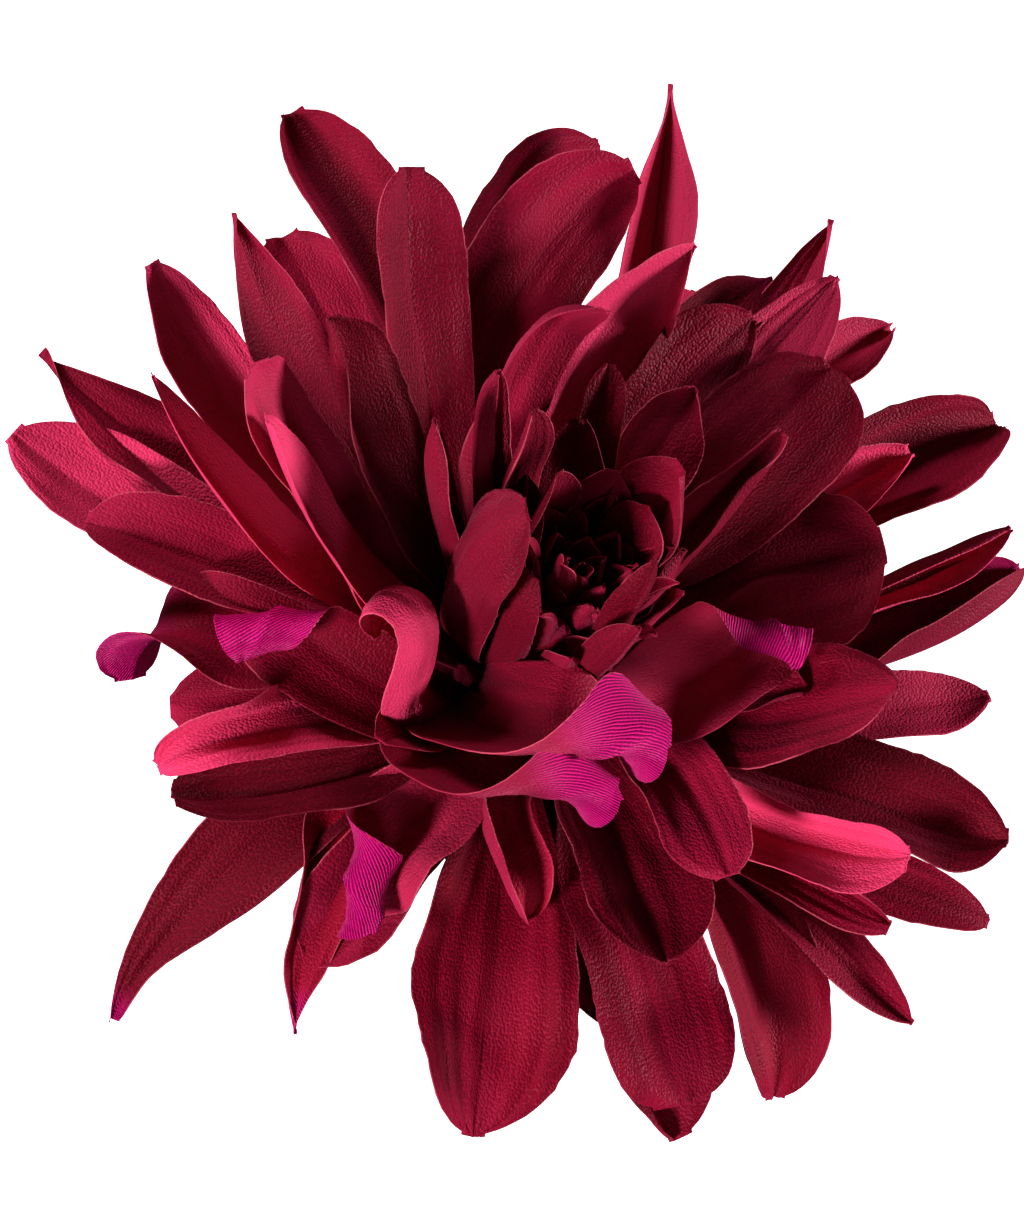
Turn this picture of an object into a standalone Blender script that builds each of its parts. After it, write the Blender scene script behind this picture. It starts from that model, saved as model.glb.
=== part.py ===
# Crimson dahlia bloom, cut short below its head.
# Metres, +Z up along the bloom's axis. The origin is the centre of the stalk's flat cut face,
# which stands on the surface together with the tips of the lowest florets.
import math

import bmesh
import bpy
from mathutils import Quaternion, Vector

# Driving dimensions of the head
HEAD_HEIGHT = 0.0200      # plane that the lowest florets grow from
DOME_RADIUS = 0.0085      # ring of the lowest roots
DOME_HEIGHT = 0.0130      # lowest roots to the top of the bud's core
CORE_MARGIN = 0.0028      # core's skin beyond the ring of roots
ROOT_DEPTH = 0.0035       # how far each root runs on inside the core
FLORET_THICKNESS = 0.0007
SMALL_FLORET_THICKNESS = 0.0006
CLEARANCE = 0.0003        # gap between pieces, and lowest skin above the surface
FLOOR_SOFTNESS = 0.0006   # how softly a low tip comes to lie along the surface

# Driving dimensions of the stalk and bracts
STALK_RADIUS = 0.0038
STALK_FLARE_HEIGHT = 0.0080
BASE_RADIUS = 0.0072
BASE_TOP = 0.0128
CORE_BOTTOM = HEAD_HEIGHT - 0.0024
COLLAR_BOTTOM = BASE_TOP + CLEARANCE
COLLAR_TOP = CORE_BOTTOM - CLEARANCE
COLLAR_RADIUS = 0.0080
COLLAR_TAPER = 0.0010     # how much narrower the collar is at its top
FLARE_STEP = 0.0008       # how far the base swells past the stalk at the flare
BASE_RIM = 0.0016         # height of the base's straight rim
FLARE_FOOT = 0.0030       # from the flare down to the straight stalk
TURNED_SIDES = 16

# Bracts: how many, first azimuth, height and radius of their roots, rise, bend, length, width
INNER_BRACTS = (10, 0.0, 0.0158, 0.0055, 2, 12, 0.0135, 0.0075)
OUTER_BRACTS = (7, 15.0, 0.0112, 0.0048, 0, 38, 0.0150, 0.0062)
BRACT = {"cup": 25, "tip": 0.4, "widest": 0.5, "claw": 0.7}
BRACT_ROWS = 4

# Counts and limits of the florets' faces
ACROSS = 2                # faces across a floret
STEPS_PER_ROW = 6         # finer steps of the midline in each row of faces
TIP_EASING = 1.35         # above 1, the rows of faces crowd towards the tip
BLUNT_END = 0.985         # place along a floret whose width its last row keeps
CORE_RINGS = 6
SHORT = 0.030             # a floret below this length is thin and has few faces

# A floret's usual shape. Angles are degrees, and places along it are parts of its length.
USUAL = {
    "turn": 0.0,          # about its own midline, at the root
    "twist": 0.0,         # the same, gained from the place twist_from to the tip
    "twist_from": 0.0,
    "curl": 0.0,          # bend of the tip alone, upwards where it is negative
    "curl_from": 0.72,
    "cup": 30.0,          # slope of the edges at mid length
    "fold": 0.0,          # crease along the midline
    "tip": 0.25,          # 0 is round and 1 is pointed
    "widest": 0.62,
    "claw": 0.24,         # root's width as a part of the full width
}
ROOT_CUP = 75.0

# Florets placed by hand: name, row on the dome (0 low, 1 top), azimuth, rise above the horizontal at the
# root, bend (outwards and down), side bend (clockwise from above), length, width, and what is unusual.
FLORETS = (
    # Far side, outer rows
    ("far_1", 0.04, 93, 13, 14, -17, 0.077, 0.014, {"fold": 45, "tip": 0.9}),
    ("far_2", 0.10, 134, 14, 22, 66, 0.076, 0.014, {"tip": 0.1, "widest": 0.7}),
    ("far_3", 0.08, 95, 11, 24, 10, 0.056, 0.010, {}),
    ("far_4", 0.08, 77, 15, 13, -11, 0.069, 0.011, {"tip": 0.9}),
    ("far_5", 0.18, 81, 21, 20, 7, 0.059, 0.012, {"tip": 0.6}),
    ("far_6", 0.05, 82, 12, 24, 24, 0.066, 0.011, {"fold": 30}),
    ("far_7", 0.10, 55, 14, 16, -2, 0.063, 0.019, {"fold": 30, "tip": 0.1}),
    ("far_8", 0.25, 56, 25, 25, 1, 0.048, 0.011, {"tip": 0.3}),
    ("far_9", 0.35, 68, 36, 18, -2, 0.045, 0.018, {"cup": -10, "tip": 0.0}),
    ("far_10", 0.25, 100, 23, 29, 36, 0.058, 0.012, {"tip": 0.5}),
    ("far_11", 0.40, 99, 39, 18, 38, 0.045, 0.012, {"turn": 10}),
    ("far_12", 0.30, 145, 29, -6, 80, 0.062, 0.016, {"cup": 30, "tip": 0.2, "widest": 0.68}),
    ("far_13", 0.35, 129, 36, -16, 65, 0.052, 0.012, {"turn": 10, "tip": 0.5}),
    ("far_14", 0.50, 57, 52, 10, -2, 0.036, 0.009, {"turn": 40, "tip": 0.5}),
    ("far_15", 0.05, 143, 9, 16, 6, 0.058, 0.014, {"tip": 0.0}),
    ("far_16", 0.10, 129, 14, 21, -15, 0.072, 0.016, {"fold": 30, "tip": 0.0, "widest": 0.7}),
    ("far_17", 0.30, 150, 34, -5, 25, 0.056, 0.012, {"cup": 25, "tip": 0.0, "widest": 0.7}),
    ("far_18", 0.15, 124, 16, 24, 2, 0.053, 0.011, {}),
    ("far_19", 0.25, 171, 30, -7, 21, 0.060, 0.012, {"tip": 0.7}),
    # Right-hand side
    ("right_1", 0.10, 34, 12, 13, -23, 0.057, 0.010, {"cup": 70, "tip": 0.3}),
    ("right_2", 0.06, 22, 7, 9, -44, 0.060, 0.015, {"fold": 30, "tip": 0.3}),
    ("right_3", 0.00, 19, 1, 14, -22, 0.052, 0.010, {"tip": 0.3}),
    ("right_4", 0.35, 48, 35, 28, 16, 0.038, 0.019, {"cup": 10, "tip": 0.0}),
    ("right_5", 0.45, 338, 44, 59, -91, 0.036, 0.015,
     {"turn": 48, "twist": 151, "twist_from": 0.5, "curl": -244, "curl_from": 0.6, "tip": 0.7, "widest": 0.5}),
    ("right_6", 0.25, 353, 33, -15, -24, 0.041, 0.016, {"cup": 15, "tip": 0.3}),
    ("right_7", 0.10, 0, 9, 10, -11, 0.052, 0.016, {}),
    ("right_8", 0.20, 335, 15, -16, -26, 0.046, 0.012, {"tip": 0.0}),
    ("right_9", 0.00, 351, 0, 5, -20, 0.054, 0.010, {"tip": 0.4}),
    ("right_10", 0.10, 338, 9, 0, -17, 0.044, 0.009, {}),
    ("right_11", 0.00, 344, -5, 15, -6, 0.053, 0.009, {"cup": 60, "tip": 0.3}),
    ("right_12", 0.40, 342, 38, 22, 40, 0.034, 0.011, {"tip": 0.1}),
    # Near side
    ("near_1", 0.30, 312, 24, 20, 4, 0.036, 0.015, {"tip": 0.1}),
    ("near_2", 0.10, 312, 10, 16, 3, 0.047, 0.016, {"cup": 15, "tip": 0.0, "widest": 0.7}),
    ("near_3", 0.00, 311, -5, 18, -5, 0.048, 0.013, {"tip": 0.1, "widest": 0.7}),
    ("near_4", 0.05, 347, -2, 42, 34, 0.053, 0.015, {}),
    ("near_5", 0.05, 284, 1, 20, -7, 0.047, 0.020, {"cup": 25, "tip": 0.5}),
    ("near_6", 0.30, 270, 11, 8, -58, 0.027, 0.010, {"curl": 80}),
    ("near_7", 0.28, 264, 17, 60, 39, 0.035, 0.015,
     {"turn": 3, "twist": -167, "twist_from": 0.5, "curl": -204, "curl_from": 0.6, "tip": 0.0}),
    ("near_8", 0.05, 237, -4, 29, -56, 0.045, 0.012, {"tip": 1.0, "widest": 0.5}),
    # Left-hand side
    ("left_1", 0.00, 231, -4, 33, -25, 0.057, 0.013, {"tip": 1.0, "widest": 0.5}),
    ("left_2", 0.20, 245, 8, -2, 34, 0.043, 0.011, {"tip": 0.0}),
    ("left_3", 0.30, 233, 25, 10, 13, 0.046, 0.010, {"curl": 70, "tip": 0.1}),
    ("left_4", 0.20, 213, 18, 19, 31, 0.047, 0.014,
     {"turn": -5, "twist": 72, "twist_from": 0.55, "curl": 117, "curl_from": 0.6, "tip": 0.0, "widest": 0.75}),
    ("left_5", 0.42, 251, 31, 95, 76, 0.045, 0.013,
     {"turn": -59, "twist": -146, "twist_from": 0.55, "curl": -249, "curl_from": 0.6, "tip": 0.3}),
    ("left_6", 0.12, 191, 16, 14, 2, 0.048, 0.013, {"tip": 0.1}),
    ("left_7", 0.08, 192, 4, -2, 23, 0.060, 0.015, {}),
    ("left_8", 0.06, 180, 8, 4, 16, 0.062, 0.015, {"tip": 0.9, "widest": 0.5}),
    ("left_9", 0.25, 203, 30, -24, 24, 0.061, 0.009, {"tip": 0.7}),
    ("left_10", 0.15, 181, 21, -13, 27, 0.061, 0.013, {"tip": 0.3}),
    # Middle rows, standing round the bud on its left and far sides
    ("middle_1", 0.45, 185, 46, -14, 19, 0.052, 0.014, {"tip": 0.0}),
    ("middle_2", 0.40, 204, 40, -22, 23, 0.058, 0.015, {"tip": 0.0}),
    ("middle_3", 0.50, 216, 43, -22, 26, 0.056, 0.010, {"tip": 0.1}),
    ("middle_4", 0.60, 197, 57, -20, 13, 0.044, 0.009, {"cup": 65}),
    ("middle_5", 0.60, 168, 60, -14, 16, 0.041, 0.009, {"cup": 65}),
    ("middle_6", 0.50, 158, 48, -40, 45, 0.051, 0.012, {"curl": -60}),
    ("middle_7", 0.60, 106, 60, 12, -1, 0.033, 0.007, {"cup": 65}),
    ("middle_8", 0.60, 164, 64, -26, 13, 0.037, 0.009, {}),
    ("middle_9", 0.65, 107, 64, 13, -10, 0.027, 0.008, {}),
    ("middle_10", 0.50, 85, 51, 13, 1, 0.033, 0.010, {}),
    # Rows that stand in front of the bud
    ("front_1", 0.50, 246, 6, 40, -160, 0.050, 0.012,
     {"turn": 110, "twist": 22, "curl": -246, "curl_from": 0.55, "cup": 75}),
    ("front_2", 0.50, 236, 29, 69, -129, 0.046, 0.019,
     {"turn": 72, "twist": -140, "twist_from": 0.60, "curl": -94, "curl_from": 0.68, "tip": 0.0}),
    ("front_3", 0.42, 232, 18, 53, -142, 0.046, 0.017,
     {"turn": 57, "twist": -142, "twist_from": 0.60, "curl": -99, "curl_from": 0.68, "tip": 0.0}),
    # Bud
    ("bud_1", 0.50, 215, 50, -62, -5, 0.047, 0.014, {"cup": 40}),
    ("bud_2", 0.50, 239, 64, -34, -2, 0.034, 0.011, {"cup": 50}),
    ("bud_3", 0.58, 268, 72, -28, 7, 0.028, 0.009, {"cup": 50}),
    ("bud_4", 0.66, 285, 80, -20, 4, 0.022, 0.009, {"cup": 50}),
    ("bud_5", 0.58, 211, 75, -16, 1, 0.030, 0.010, {"cup": 50}),
    ("bud_6", 0.66, 160, 77, -14, 2, 0.025, 0.009, {"cup": 50}),
    ("bud_7", 0.62, 164, 74, -24, 5, 0.033, 0.010, {"cup": 50}),
    ("bud_8", 0.80, 119, 81, -2, 1, 0.017, 0.007, {"cup": 60}),
    ("bud_9", 0.78, 60, 79, -2, 0, 0.019, 0.007, {"cup": 60}),
    ("bud_10", 0.74, 61, 77, -4, -4, 0.026, 0.009, {"cup": 60}),
    ("bud_11", 0.55, 305, 74, -26, -10, 0.038, 0.008, {"cup": 75}),
    ("bud_12", 0.48, 297, 66, -28, -9, 0.035, 0.009, {"cup": 75}),
    ("bud_13", 0.62, 58, 66, -23, -5, 0.033, 0.013, {"cup": 60}),
    ("bud_14", 0.58, 28, 70, -17, -3, 0.027, 0.010, {"cup": 60}),
    ("bud_15", 0.66, 119, 72, -15, 12, 0.029, 0.009, {"cup": 55}),
)

# Florets that fill the rows behind and under those, each ring evenly spaced:
# count, first azimuth, row, rise, bend, length, width
RINGS = (
    (7, 0, 0.00, -8, 12, 0.034, 0.013),
    (3, 5, 0.38, 40, 6, 0.028, 0.009),
    (3, 10, 0.92, 82, 4, 0.016, 0.005),
)
# Low florets behind the bloom whose tips rest on the surface
RESTING = (
    ("rest_1", 0.00, 65, -14, 16, 0, 0.050, 0.013, {}),
    ("rest_2", 0.00, 112, -14, 16, 0, 0.050, 0.013, {}),
    ("rest_3", 0.00, 158, -14, 16, 0, 0.050, 0.013, {}),
)


def smooth(t):
    t = min(max(t, 0.0), 1.0)
    return t * t * (3.0 - 2.0 * t)


def floret_shape(row, azimuth, rise, bend, side, length, width, unusual):
    """One floret's values, with the usual ones where nothing else is said."""
    shape = dict(USUAL)
    shape.update(row=row, azimuth=azimuth, rise=rise, bend=bend, side=side, length=length, width=width)
    shape.update(unusual)
    return shape


def shares_from(start, steps):
    """How a bend that begins at the place start is shared out over the steps of the midline."""
    shares = []
    for i in range(steps):
        s = (i + 0.5) / steps
        shares.append(smooth(2.0 * (s - start) / (1.0 - start)) if s > start else 0.0)
    return [share / sum(shares) for share in shares]


def midline(shape, steps):
    """Points and frames (along, up, across) from the sunken root to the tip."""
    azimuth = math.radians(shape["azimuth"])
    rise = math.radians(shape["rise"])
    outwards = Vector((math.cos(azimuth), math.sin(azimuth), 0.0))
    along = outwards * math.cos(rise) + Vector((0.0, 0.0, math.sin(rise)))
    up = Vector((0.0, 0.0, math.cos(rise))) - outwards * math.sin(rise)
    up.rotate(Quaternion(along, math.radians(shape["turn"])))
    radius = DOME_RADIUS * math.sqrt(1.0 - shape["row"])
    point = outwards * radius
    point.z = HEAD_HEIGHT + DOME_HEIGHT * shape["row"]
    step = shape["length"] / steps
    curls = [shape["curl"] * share for share in shares_from(shape["curl_from"], steps)]
    twists = [shape["twist"] * share for share in shares_from(shape["twist_from"], steps)]
    frames = [(point.copy(), along.copy(), up.copy(), along.cross(up))]
    for curl, twist in zip(curls, twists):
        across = along.cross(up)
        bend = shape["bend"] / steps + curl
        turning = -bend * across - shape["side"] / steps * up + twist * along
        turning *= math.radians(1.0)
        if turning.length > 0.0:
            point = point + Quaternion(turning, 0.5 * turning.length) @ along * step
            along.rotate(Quaternion(turning, turning.length))
            up.rotate(Quaternion(turning, turning.length))
        else:
            point = point + along * step
        frames.append((point.copy(), along.copy(), up.copy(), along.cross(up)))
    return frames


def half_width(shape, s):
    """Half the floret's width, measured round its cupped section."""
    widest = shape["widest"]
    if s < widest:
        grown = math.sin(0.5 * math.pi * max(s, 0.0) / widest) ** 1.3
        part = shape["claw"] + (1.0 - shape["claw"]) * grown
    else:
        t = (s - widest) / (1.0 - widest)
        part = (1.0 - t ** (4.2 - 2.8 * shape["tip"])) ** (0.5 + 0.5 * shape["tip"])
    return 0.5 * shape["width"] * part


def section(shape, s, x, half, steps=12):
    """Offsets (across, up) of the place x from -1 to 1 on the cupped section at s."""
    if s < 0.5:
        cup = ROOT_CUP + (shape["cup"] - ROOT_CUP) * smooth(s / 0.5)
    else:
        cup = shape["cup"] * (1.0 - 0.4 * smooth((s - 0.5) / 0.5))
    fold = shape["fold"] * smooth(s / 0.5)
    across = 0.0
    up = 0.0
    for i in range(steps):
        place = abs(x) * (i + 0.5) / steps
        slope = math.radians(cup * place + fold * math.tanh(place / 0.15))
        across += math.cos(slope) * abs(x) / steps
        up += math.sin(slope) * abs(x) / steps
    return math.copysign(across, x) * half, up * half


def above_surface(z, lowest):
    """The height z, eased so that nothing passes below the lowest height."""
    gap = z - lowest
    return lowest + 0.5 * (gap + math.hypot(gap, FLOOR_SOFTNESS))


def floret_blade(name, shape, rows, thickness, collection):
    """A floret as an open sheet that is bent from a grid and given its thickness."""
    fine = STEPS_PER_ROW * rows
    frames = midline(shape, fine)
    stops = [1.0 - (1.0 - i / rows) ** TIP_EASING for i in range(rows + 1)]
    bm = bmesh.new()
    bmesh.ops.create_grid(bm, x_segments=rows + 1, y_segments=ACROSS, size=0.5)
    for vert in bm.verts:
        along_index = round((vert.co.x + 0.5) * (rows + 1)) - 1
        x = round((vert.co.y + 0.5) * ACROSS) / ACROSS * 2.0 - 1.0
        vert.co = blade_point(shape, frames, stops, along_index, x, fine, thickness)
    bmesh.ops.triangulate(bm, faces=bm.faces[:], quad_method="FIXED")
    mesh = bpy.data.meshes.new(name)
    bm.to_mesh(mesh)
    bm.free()
    blade = bpy.data.objects.new(name, mesh)
    collection.objects.link(blade)
    solid = blade.modifiers.new("thickness", "SOLIDIFY")
    solid.thickness = thickness
    solid.offset = 0.0
    return blade


def blade_point(shape, frames, stops, index, x, fine, thickness):
    """Where one grid point lies. Index -1 is the root's end, sunk inside the core."""
    if index < 0:
        point, along, up, across = frames[0]
        side, lift = section(shape, 0.0, x, half_width(shape, 0.0))
        return point - along * ROOT_DEPTH + across * side + up * lift
    s = round(stops[index] * fine) / fine
    point, along, up, across = frames[round(s * fine)]
    blunt = min(s, BLUNT_END)
    side, lift = section(shape, s, x, half_width(shape, blunt))
    place = point + across * side + up * lift
    place.z = above_surface(place.z, CLEARANCE + 0.5 * thickness)
    return place


def lathe(name, profile):
    """A solid turned from a profile of (radius, height) points, listed from the top down."""
    mesh = bpy.data.meshes.new(name)
    points = [(radius, 0.0, height) for radius, height in profile]
    edges = [(i, i + 1) for i in range(len(points) - 1)]
    mesh.from_pydata(points, edges, [])
    turned = bpy.data.objects.new(name, mesh)
    bpy.context.scene.collection.objects.link(turned)
    screw = turned.modifiers.new("turn", "SCREW")
    screw.steps = TURNED_SIDES
    screw.render_steps = TURNED_SIDES
    screw.use_merge_vertices = True
    screw.merge_threshold = 0.00002
    screw.use_normal_calculate = True
    return turned


def apply_modifiers(thing):
    """Replaces the object's mesh by what its modifiers make of it."""
    graph = bpy.context.evaluated_depsgraph_get()
    made = bpy.data.meshes.new_from_object(thing.evaluated_get(graph))
    old = thing.data
    thing.modifiers.clear()
    thing.data = made
    bpy.data.meshes.remove(old)


def keep_main_body(mesh):
    """Keeps the largest connected body: sealed hollows are filled and loose scraps are dropped."""
    bm = bmesh.new()
    bm.from_mesh(mesh)
    left = set(bm.verts)
    bodies = []
    while left:
        stack = [left.pop()]
        body = set(stack)
        while stack:
            for edge in stack.pop().link_edges:
                for vert in edge.verts:
                    if vert in left:
                        left.discard(vert)
                        body.add(vert)
                        stack.append(vert)
        bodies.append(body)
    bodies.sort(key=len)
    for body in bodies[:-1]:
        bmesh.ops.delete(bm, geom=list(body), context="VERTS")
    bm.to_mesh(mesh)
    bm.free()


def fuse(core, collection):
    """Joins all the collection's solids to the core in one body, and removes them."""
    union = core.modifiers.new("union", "BOOLEAN")
    union.operation = "UNION"
    union.operand_type = "COLLECTION"
    union.collection = collection
    union.solver = "EXACT"
    union.use_self = True
    apply_modifiers(core)
    for thing in list(collection.objects):
        mesh = thing.data
        bpy.data.objects.remove(thing)
        bpy.data.meshes.remove(mesh)
    bpy.data.collections.remove(collection)
    keep_main_body(core.data)


def material(name, colour, roughness):
    made = bpy.data.materials.new(name)
    made.use_nodes = True
    shader = made.node_tree.nodes["Principled BSDF"]
    shader.inputs["Base Color"].default_value = (*colour, 1.0)
    shader.inputs["Roughness"].default_value = roughness
    shader.inputs["Metallic"].default_value = 0.0
    made.diffuse_color = (*colour, 1.0)
    return made


def new_collection(name):
    made = bpy.data.collections.new(name)
    bpy.context.scene.collection.children.link(made)
    return made


def move_to(thing, collection):
    for old in list(thing.users_collection):
        old.objects.unlink(thing)
    collection.objects.link(thing)


def rows_along(shape):
    """How many rows of faces a floret needs for its curves."""
    if shape["curl"] != 0.0:
        return 8 if abs(shape["curl"]) > 150 else 6
    if shape["length"] < SHORT:
        return 4
    return 6 if abs(shape["bend"]) + abs(shape["side"]) > 60 else 5


def all_florets():
    """Every floret as (name, shape, rows along it)."""
    listed = []
    for entry in FLORETS + RESTING:
        shape = floret_shape(*entry[1:])
        listed.append((entry[0], shape, rows_along(shape)))
    for ring, (count, first, row, rise, bend, length, width) in enumerate(RINGS):
        for i in range(count):
            azimuth = first + 360.0 * i / count
            shape = floret_shape(row, azimuth, rise, bend, 0, length, width, {"cup": 40})
            listed.append((f"ring_{ring}_{i}", shape, 3))
    return listed


def build_ray_florets(target):
    """The crimson part of the bloom: a small core with every floret fused to it."""
    profile = []
    for i in range(CORE_RINGS + 1):
        angle = 0.5 * math.pi * i / CORE_RINGS
        radius = (DOME_RADIUS + CORE_MARGIN) * math.sin(angle)
        profile.append((radius, HEAD_HEIGHT + (DOME_HEIGHT + CORE_MARGIN) * math.cos(angle)))
    profile.append((DOME_RADIUS, CORE_BOTTOM))
    profile.append((0.0, CORE_BOTTOM))
    core = lathe("ray_florets", profile)
    apply_modifiers(core)
    blades = new_collection("floret_blades")
    for name, shape, rows in all_florets():
        thickness = SMALL_FLORET_THICKNESS if shape["length"] < SHORT else FLORET_THICKNESS
        floret_blade(name, shape, rows, thickness, blades)
    fuse(core, blades)
    move_to(core, target)
    core.data.materials.clear()
    core.data.materials.append(material("crimson", (0.20, 0.004, 0.025), 0.5))
    return core


def build_inner_bracts(target):
    """The thin papery bracts close under the florets."""
    profile = [
        (0.0, COLLAR_TOP),
        (COLLAR_RADIUS - COLLAR_TAPER, COLLAR_TOP),
        (COLLAR_RADIUS, COLLAR_BOTTOM),
        (0.0, COLLAR_BOTTOM),
    ]
    collar = lathe("inner_bracts", profile)
    apply_modifiers(collar)
    fuse(collar, ring_of_bracts("inner", *INNER_BRACTS))
    move_to(collar, target)
    collar.data.materials.append(material("papery_bract", (0.35, 0.30, 0.12), 0.6))
    return collar


def ring_of_bracts(name, count, first, height, radius, rise, bend, length, width):
    """A ring of small leaves that grow outwards from a circle round the axis, in a collection."""
    blades = new_collection(name + "_blades")
    shape = floret_shape(0.0, 0.0, rise, bend, 0, length, width, BRACT)
    for i in range(count):
        blade = floret_blade(f"{name}_{i}", shape, BRACT_ROWS, SMALL_FLORET_THICKNESS, blades)
        turn = math.radians(first + 360.0 * i / count)
        for vert in blade.data.vertices:
            x = vert.co.x - DOME_RADIUS + radius
            y = vert.co.y
            z = vert.co.z - HEAD_HEIGHT + height
            vert.co = (x * math.cos(turn) - y * math.sin(turn), x * math.sin(turn) + y * math.cos(turn), z)
    return blades


def build_green_base(target):
    """The stalk's short end, the flared base of the head and its green outer bracts."""
    profile = [
        (0.0, BASE_TOP),
        (BASE_RADIUS, BASE_TOP),
        (BASE_RADIUS, BASE_TOP - BASE_RIM),
        (STALK_RADIUS + FLARE_STEP, STALK_FLARE_HEIGHT),
        (STALK_RADIUS, STALK_FLARE_HEIGHT - FLARE_FOOT),
        (STALK_RADIUS, 0.0),
        (0.0, 0.0),
    ]
    base = lathe("stalk_and_outer_bracts", profile)
    apply_modifiers(base)
    fuse(base, ring_of_bracts("outer", *OUTER_BRACTS))
    move_to(base, target)
    base.data.materials.append(material("green_bract", (0.10, 0.16, 0.04), 0.55))
    return base


def clear_scene():
    for thing in list(bpy.data.objects):
        bpy.data.objects.remove(thing)


def main():
    clear_scene()
    target = new_collection("dahlia_bloom")
    build_ray_florets(target)
    build_inner_bracts(target)
    build_green_base(target)


main()
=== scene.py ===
import itertools
import math

import bpy
import numpy as np
from mathutils import Matrix, Vector


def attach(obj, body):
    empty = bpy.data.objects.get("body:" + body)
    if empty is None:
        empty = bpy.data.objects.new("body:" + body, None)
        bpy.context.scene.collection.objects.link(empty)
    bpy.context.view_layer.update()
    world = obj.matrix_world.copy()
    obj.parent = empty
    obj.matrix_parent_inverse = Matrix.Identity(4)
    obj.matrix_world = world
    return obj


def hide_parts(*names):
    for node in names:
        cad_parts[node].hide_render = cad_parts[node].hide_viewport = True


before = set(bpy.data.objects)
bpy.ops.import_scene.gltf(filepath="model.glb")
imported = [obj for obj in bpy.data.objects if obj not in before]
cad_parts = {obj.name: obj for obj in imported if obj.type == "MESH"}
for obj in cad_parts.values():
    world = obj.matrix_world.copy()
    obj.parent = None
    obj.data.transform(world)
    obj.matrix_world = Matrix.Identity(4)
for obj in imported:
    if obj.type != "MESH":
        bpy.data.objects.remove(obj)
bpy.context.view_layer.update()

# The same driving dimensions as the solids, in metres
HEAD_HEIGHT = 0.0200
DOME_RADIUS = 0.0085
DOME_HEIGHT = 0.0130
CORE_MARGIN = 0.0028
ROOT_DEPTH = 0.0030
CLEARANCE = 0.0003
FLOOR_SOFTNESS = 0.0006
STALK_RADIUS = 0.0038
BASE_RADIUS = 0.0072
BASE_TOP = 0.0128
COLLAR_BOTTOM = 0.0131
COLLAR_TOP = 0.0173
COLLAR_RADIUS = 0.0080

# The photograph's view of the bloom. HEAD_PIXEL is where the head's middle lies in the frame.
CAMERA_ELEVATION = math.radians(60.0)
CAMERA_ROLL = math.radians(25.0)
CAMERA_DISTANCE = 0.450
SENSOR_WIDTH = 36.0
PIXELS_PER_METRE = 8400.0
FRAME_WIDTH = 1024.0
FRAME_HEIGHT = 1228.0
HEAD_PIXEL = (526.0, 688.0)

# Round lamps, all aimed at one place: name, place, diameter, watts
LAMP_AIM = (0.0, 0.0, 0.03)
LAMPS = (
    ("key", (-0.42, -1.08, 0.40), 0.28, 18.0),
    ("right", (1.08, 0.42, 0.28), 0.30, 18.5),
    ("left", (-0.95, 0.25, 0.55), 0.35, 9.0),
    ("front", (0.75, -0.90, 0.35), 0.40, 2.5),
)
# Strength of the world as the camera sees it and as a light, and the floor's half side and glow
WORLD_SEEN = 1.0
WORLD_LIGHT = 0.05
FLOOR_REACH = 3.0
FLOOR_GLOW = 0.95

# How finely a blade is made: its thickness, the steps of its midline and of half its section, and the
# rows along and columns across it
BLADE_THICKNESS = 0.00044
MIDLINE_STEPS = 120
SECTION_STEPS = 48
BLADE_NET = (46, 24)
RING_NET = (26, 16)
BUD_NET = (28, 14)
TUBE_NET = (34, 16)
PAPERY_NET = (20, 12)
GREEN_NET = (22, 12)
RIB_COUNT = 8
MIDRIB_DEPTH = 0.00030
RELIEF_WIDTH = 0.013  # the floret's width at which ribs and ripples have their full height

# Rows on the dome where the outer florets end and where the middle ones end
OUTER_END = 0.27
MIDDLE_END = 0.55

# Petal colours, as linear red, green and blue
PETAL = {
    "deep": (0.12, 0.0008, 0.010),
    "clear": (0.28, 0.0026, 0.030),
    "warm": (0.40, 0.002, 0.020),
    "under_deep": (0.20, 0.008, 0.030),
    "under_clear": (0.36, 0.020, 0.065),
    "vein": (0.06, 0.0008, 0.006),
    "rosy": (0.40, 0.012, 0.065),
    # painted shade: the dusk that florets listed as shaded are mixed towards, also for a little random tone
    "dusky_and_painted_shade": (0.10, 0.0012, 0.0080),
    "cell": (0.44, 0.011, 0.065),
    # painted light: the pink that florets listed as lit are mixed towards, also for a little random tone
    "light": (0.80, 0.055, 0.165),
    "magenta_deep": (0.30, 0.0010, 0.095),
    "magenta_clear": (0.86, 0.012, 0.270),
    # painted shade at the roots, where the florets cover one another
    "root": (0.030, 0.0005, 0.003),
    # painted highlight on the margins where they catch the light
    "rim": (0.75, 0.14, 0.20),
    "glow": (0.50, 0.003, 0.030),
    "magenta_glow": (0.55, 0.01, 0.25),
}
SHEEN_TINT = (1.0, 0.22, 0.40, 1.0)

# A floret's usual shape. Angles are degrees, and places along it are parts of its length.
USUAL = {
    "turn": 0.0,          # about its own midline, at the root
    "twist": 0.0,         # the same, gained from the place twist_from to the tip
    "twist_from": 0.0,
    "curl": 0.0,          # bend of the tip alone, upwards where it is negative
    "curl_from": 0.72,
    "cup": 30.0,          # slope of the edges at mid length
    "fold": 0.0,          # crease along the midline
    "tip": 0.25,          # 0 is round and 1 is pointed
    "widest": 0.62,
    "claw": 0.24,         # root's width as a part of the full width
}
ROOT_CUP = 75.0
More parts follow.
